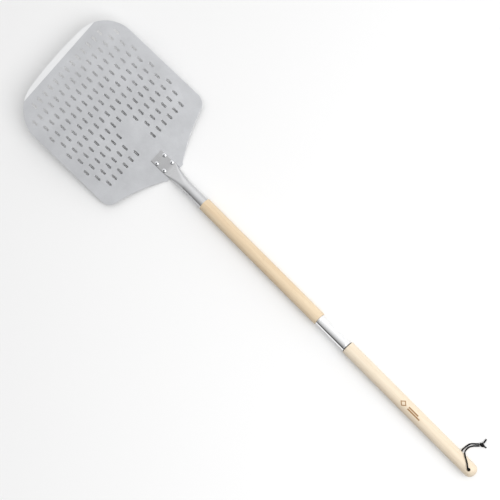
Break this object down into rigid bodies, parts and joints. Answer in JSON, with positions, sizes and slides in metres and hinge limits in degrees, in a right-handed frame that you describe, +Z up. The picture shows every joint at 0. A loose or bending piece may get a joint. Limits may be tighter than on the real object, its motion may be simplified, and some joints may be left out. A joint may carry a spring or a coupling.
{
  "type": "pizza peel",
  "caption": "Long-handled metal pizza peel with a slotted, bevelled blade, a riveted tube neck, a two-piece wooden handle joined by a metal coupling and a hanging cord.",
  "frame": {"origin": "on the floor, under the middle of the peel's length and width, the cord left out", "axes": "+Z up, +Y along the handle away from the blade, the blade's front edge faces -Y, X across the blade"},
  "size_m": [0.305, 1.215, 0.0544],
  "materials": {
    "blade_aluminium": "satin",
    "neck_aluminium": "satin",
    "rivet_aluminium": "bright",
    "mandrel_steel": "dull",
    "upper_wood": "bare, sanded",
    "lower_wood": "bare, sanded",
    "polished_metal": "polished",
    "screw_steel": "plain",
    "insert_brass": "turned",
    "washer_fibre": "matt",
    "black_cord": "braided"
  },
  "bodies": {
    "head": {"blade": "blade_aluminium", "neck_tube": "neck_aluminium", "rivet_1": "rivet_aluminium", "rivet_2": "rivet_aluminium", "rivet_3": "rivet_aluminium", "rivet_4": "rivet_aluminium", "rivet_pin_1": "mandrel_steel", "rivet_pin_2": "mandrel_steel", "rivet_pin_3": "mandrel_steel", "rivet_pin_4": "mandrel_steel", "upper_grip": "upper_wood", "neck_screw": "screw_steel", "coupling_sleeve": "polished_metal", "sleeve_screw": "screw_steel", "stud_plug": "screw_steel", "plug_screw": "screw_steel"},
    "washer": {"joint_washer": "washer_fibre"},
    "lower_handle": {"lower_grip": "lower_wood", "threaded_insert": "insert_brass", "cord_strand_a": "black_cord", "cord_strand_b": "black_cord", "cord_knot": "black_cord", "cord_tail_a": "black_cord", "cord_tail_b": "black_cord"}
  },
  "joints": [
    {"name": "thread_slide", "type": "slide", "parent": "head", "child": "washer", "axis": [0, 1, 0], "range_m": [0, 0.015]},
    {"name": "thread_turn", "type": "hinge", "parent": "washer", "child": "lower_handle", "pos_m": [0, 0.25947, 0.0174], "axis": [0, 1, 0], "range_deg": [0, 3600]}
  ],
  "couplings": [
    {"joint": "thread_turn", "follows": "thread_slide", "rad_per_m": 4188.8}
  ]
}
